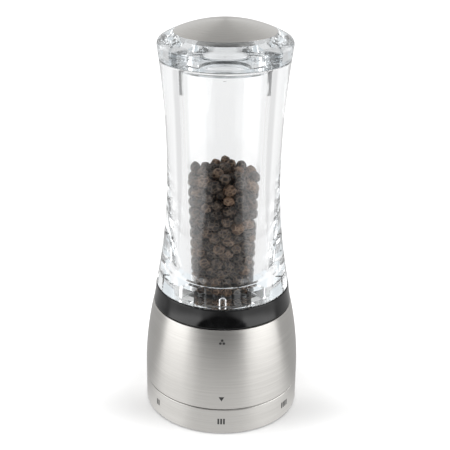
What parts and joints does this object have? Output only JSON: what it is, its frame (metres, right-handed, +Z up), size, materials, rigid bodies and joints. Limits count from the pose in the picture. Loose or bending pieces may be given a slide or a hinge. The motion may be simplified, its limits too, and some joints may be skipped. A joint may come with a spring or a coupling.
{
  "type": "pepper mill",
  "caption": "Hand pepper mill: a waisted clear hopper with a steel-capped lid turns on a brushed steel base that has a ring for setting the grind.",
  "frame": {"origin": "centre of the foot's flat underside, on the turning axis, where the mill stands", "axes": "+Z up along the turning axis, -Y towards the front with the pointer, +X to its right"},
  "size_m": [0.0626, 0.0626, 0.159],
  "materials": {
    "clear_acrylic": "clear thick-walled acrylic, polished",
    "brushed_steel": "stainless steel brushed around the axis",
    "black_gloss": "black, polished",
    "black_moulding": "black, fine moulded texture",
    "milky_plastic": "natural white, satin",
    "silicone": "milky silicone rubber",
    "burr_steel": "hardened steel with a dark finish",
    "bright_steel": "drawn bright steel",
    "bronze": "sintered bronze"
  },
  "bodies": {
    "base": {"base_sleeve": "brushed_steel", "base_frame": "black_moulding", "slide_ring": "milky_plastic", "bearing_bridge": "black_moulding", "shaft_bush": "bronze", "bridge_screws": "bright_steel", "foot_ring": "black_moulding", "foot_screws": "bright_steel", "click_spring": "bright_steel", "click_rivet": "bright_steel", "carrier_spring": "bright_steel"},
    "hopper": {"hopper": "clear_acrylic", "drive_collar": "black_gloss", "collar_clip": "bright_steel", "drive_spider": "milky_plastic", "drive_shaft": "bright_steel", "shaft_clip": "bright_steel", "shaft_spring": "bright_steel", "grinding_core": "burr_steel", "core_washer": "bright_steel", "core_nut": "bright_steel"},
    "setting_ring": {"setting_band": "brushed_steel", "setting_core": "black_moulding"},
    "burr_carrier": {"burr_carrier": "black_moulding", "follower_pins": "bright_steel", "outer_burr": "burr_steel", "burr_snap_ring": "bright_steel"},
    "lid": {"lid_shell": "clear_acrylic", "lid_dome": "brushed_steel", "lid_seal": "silicone"}
  },
  "joints": [
    {"name": "hopper_turn", "type": "hinge", "parent": "base", "child": "hopper", "pos_m": [0, 0, 0.04], "axis": [0, 0, 1], "continuous": true},
    {"name": "setting_turn", "type": "hinge", "parent": "base", "child": "setting_ring", "pos_m": [0, 0, 0.006], "axis": [0, 0, 1], "range_deg": [-165, 110], "deforming": ["click_spring"]},
    {"name": "burr_lift", "type": "slide", "parent": "base", "child": "burr_carrier", "axis": [0, 0, 1], "range_m": [-0.00092, 0.00138], "deforming": ["carrier_spring"]},
    {"name": "lid_lift", "type": "slide", "parent": "hopper", "child": "lid", "axis": [0, 0, 1], "range_m": [0, 0.045]}
  ],
  "couplings": [
    {"joint": "burr_lift", "follows": "setting_turn", "m_per_rad": -0.00047746}
  ]
}
